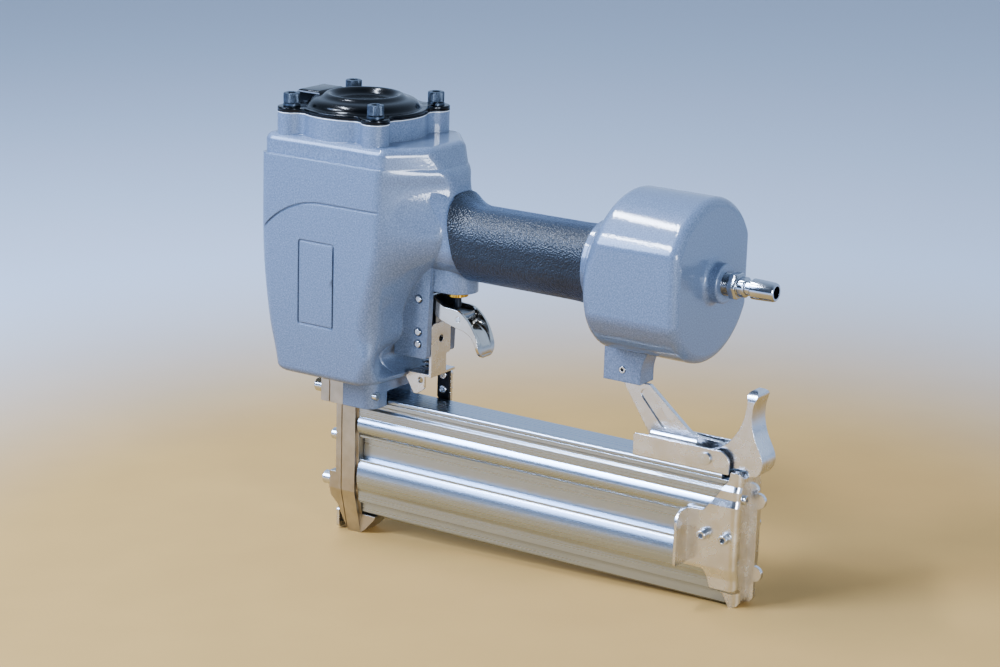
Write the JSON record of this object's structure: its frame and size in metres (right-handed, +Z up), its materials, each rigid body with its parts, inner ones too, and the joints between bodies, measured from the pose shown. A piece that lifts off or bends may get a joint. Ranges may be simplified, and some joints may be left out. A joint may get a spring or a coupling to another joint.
{
  "type": "pneumatic concrete nailer",
  "caption": "Air driven concrete nailer with a cast body, side handle with end drum, trigger and safety contact, and a sliding magazine held by a thumb latch under the handle.",
  "frame": {"origin": "nose tip on the driver axis, where a nail comes out", "axes": "+X along the handle to the air inlet, +Z up along the driver axis, -Y is the side with the bare badge panel and the magazine's pull tab"},
  "size_m": [0.3319, 0.085, 0.2764],
  "materials": {
    "hammertone_paint": "gloss hammertone blue-grey enamel on cast aluminium",
    "gloss_black": "gloss black enamel on a pressed steel cover",
    "black_oxide": "black oxide steel",
    "grip_rubber": "pebbled black rubber",
    "seal_rubber": "smooth black rubber",
    "bright_plate": "bright nickel plate on steel",
    "zinc_fastener": "bright zinc plated steel",
    "chrome_plug": "chrome plate",
    "satin_aluminium": "satin anodised extrusion",
    "machined_aluminium": "turned aluminium",
    "valve_plastic": "moulded acetal",
    "valve_brass": "turned brass",
    "tool_steel": "ground tool steel",
    "spring_steel": "spring wire"
  },
  "bodies": {
    "tool": {"housing": "hammertone_paint", "top_cover": "gloss_black", "cover_gasket": "seal_rubber", "cover_screws": "black_oxide", "cover_washers": "black_oxide", "cylinder_sleeve": "machined_aluminium", "cylinder_seals": "seal_rubber", "bumper": "seal_rubber", "head_cap": "machined_aluminium", "head_valve_spring": "spring_steel", "grip_sleeve": "grip_rubber", "drum_seal": "seal_rubber", "reservoir_drum": "hammertone_paint", "air_plug": "chrome_plug", "trigger_pin": "zinc_fastener", "cheek_pins": "zinc_fastener", "trigger_valve_body": "valve_brass", "trigger_valve_spring": "spring_steel", "safety_spring": "spring_steel", "nose_back_plate": "bright_plate", "nose_front_cover": "bright_plate", "nose_bolts": "zinc_fastener", "nose_cover_screws": "zinc_fastener", "magazine_front_plate": "black_oxide", "fixed_rail": "satin_aluminium", "bracket_arm": "bright_plate", "lug_pin": "zinc_fastener", "bracket_base": "bright_plate", "base_screws": "zinc_fastener", "latch_pin": "zinc_fastener", "latch_spring": "spring_steel"},
    "trigger": {"trigger": "bright_plate", "trigger_lever_pin": "zinc_fastener"},
    "trigger_lever": {"trigger_lever": "tool_steel"},
    "valve_stem": {"trigger_valve_stem": "tool_steel"},
    "safety": {"safety_yoke": "bright_plate", "safety_coupler": "black_oxide", "safety_contact": "bright_plate", "link_screws": "zinc_fastener", "link_nuts": "zinc_fastener"},
    "driver": {"piston": "machined_aluminium", "piston_ring": "seal_rubber", "driver_blade": "tool_steel"},
    "head_valve": {"head_valve": "valve_plastic", "head_valve_seal": "seal_rubber"},
    "magazine": {"magazine_channel": "satin_aluminium", "end_cap": "bright_plate", "end_cap_screws": "zinc_fastener", "end_cap_rear_screw": "zinc_fastener", "pusher_rod": "tool_steel", "pusher_spring": "spring_steel"},
    "pusher": {"nail_pusher": "tool_steel"},
    "latch": {"latch_lever": "bright_plate"}
  },
  "joints": [
    {"name": "trigger_pull", "type": "hinge", "parent": "tool", "child": "trigger", "pos_m": [0.0532, 0, 0.1595], "axis": [0, -1, 0], "range_deg": [0, 8], "stiffness_Nm_per_rad": 0.4, "springref_deg": -11.46},
    {"name": "valve_stem_slide", "type": "slide", "parent": "tool", "child": "valve_stem", "axis": [0, 0, 1], "range_m": [0, 0.0027], "deforming": ["trigger_valve_spring"]},
    {"name": "trigger_lever_pivot", "type": "hinge", "parent": "trigger", "child": "trigger_lever", "pos_m": [0.0779, 0, 0.1497], "axis": [0, -1, 0], "range_deg": [0, 5]},
    {"name": "safety_slide", "type": "slide", "parent": "tool", "child": "safety", "axis": [0, 0, 1], "range_m": [-0.006, 0], "stiffness_N_per_m": 300, "springref_m": -0.012, "deforming": ["safety_spring"]},
    {"name": "driver_stroke", "type": "slide", "parent": "tool", "child": "driver", "axis": [0, 0, 1], "range_m": [-0.073, 0]},
    {"name": "head_valve_lift", "type": "slide", "parent": "tool", "child": "head_valve", "axis": [0, 0, 1], "range_m": [0, 0.0045], "stiffness_N_per_m": 900, "springref_m": -0.012, "deforming": ["head_valve_spring"]},
    {"name": "magazine_slide", "type": "slide", "parent": "tool", "child": "magazine", "axis": [1, 0, 0], "range_m": [0, 0.19]},
    {"name": "pusher_slide", "type": "slide", "parent": "magazine", "child": "pusher", "axis": [1, 0, 0], "range_m": [0, 0.17], "stiffness_N_per_m": 25, "springref_m": -0.12, "deforming": ["pusher_spring"]},
    {"name": "latch_pivot", "type": "hinge", "parent": "tool", "child": "latch", "pos_m": [0.251, 0, 0.0983], "axis": [0, -1, 0], "range_deg": [0, 15], "stiffness_Nm_per_rad": 0.3, "springref_deg": -17.19, "deforming": ["latch_spring"]}
  ],
  "couplings": [
    {"joint": "valve_stem_slide", "follows": "trigger_pull", "m_per_rad": 0.0181},
    {"joint": "trigger_lever_pivot", "follows": "safety_slide", "rad_per_m": -14.5}
  ]
}
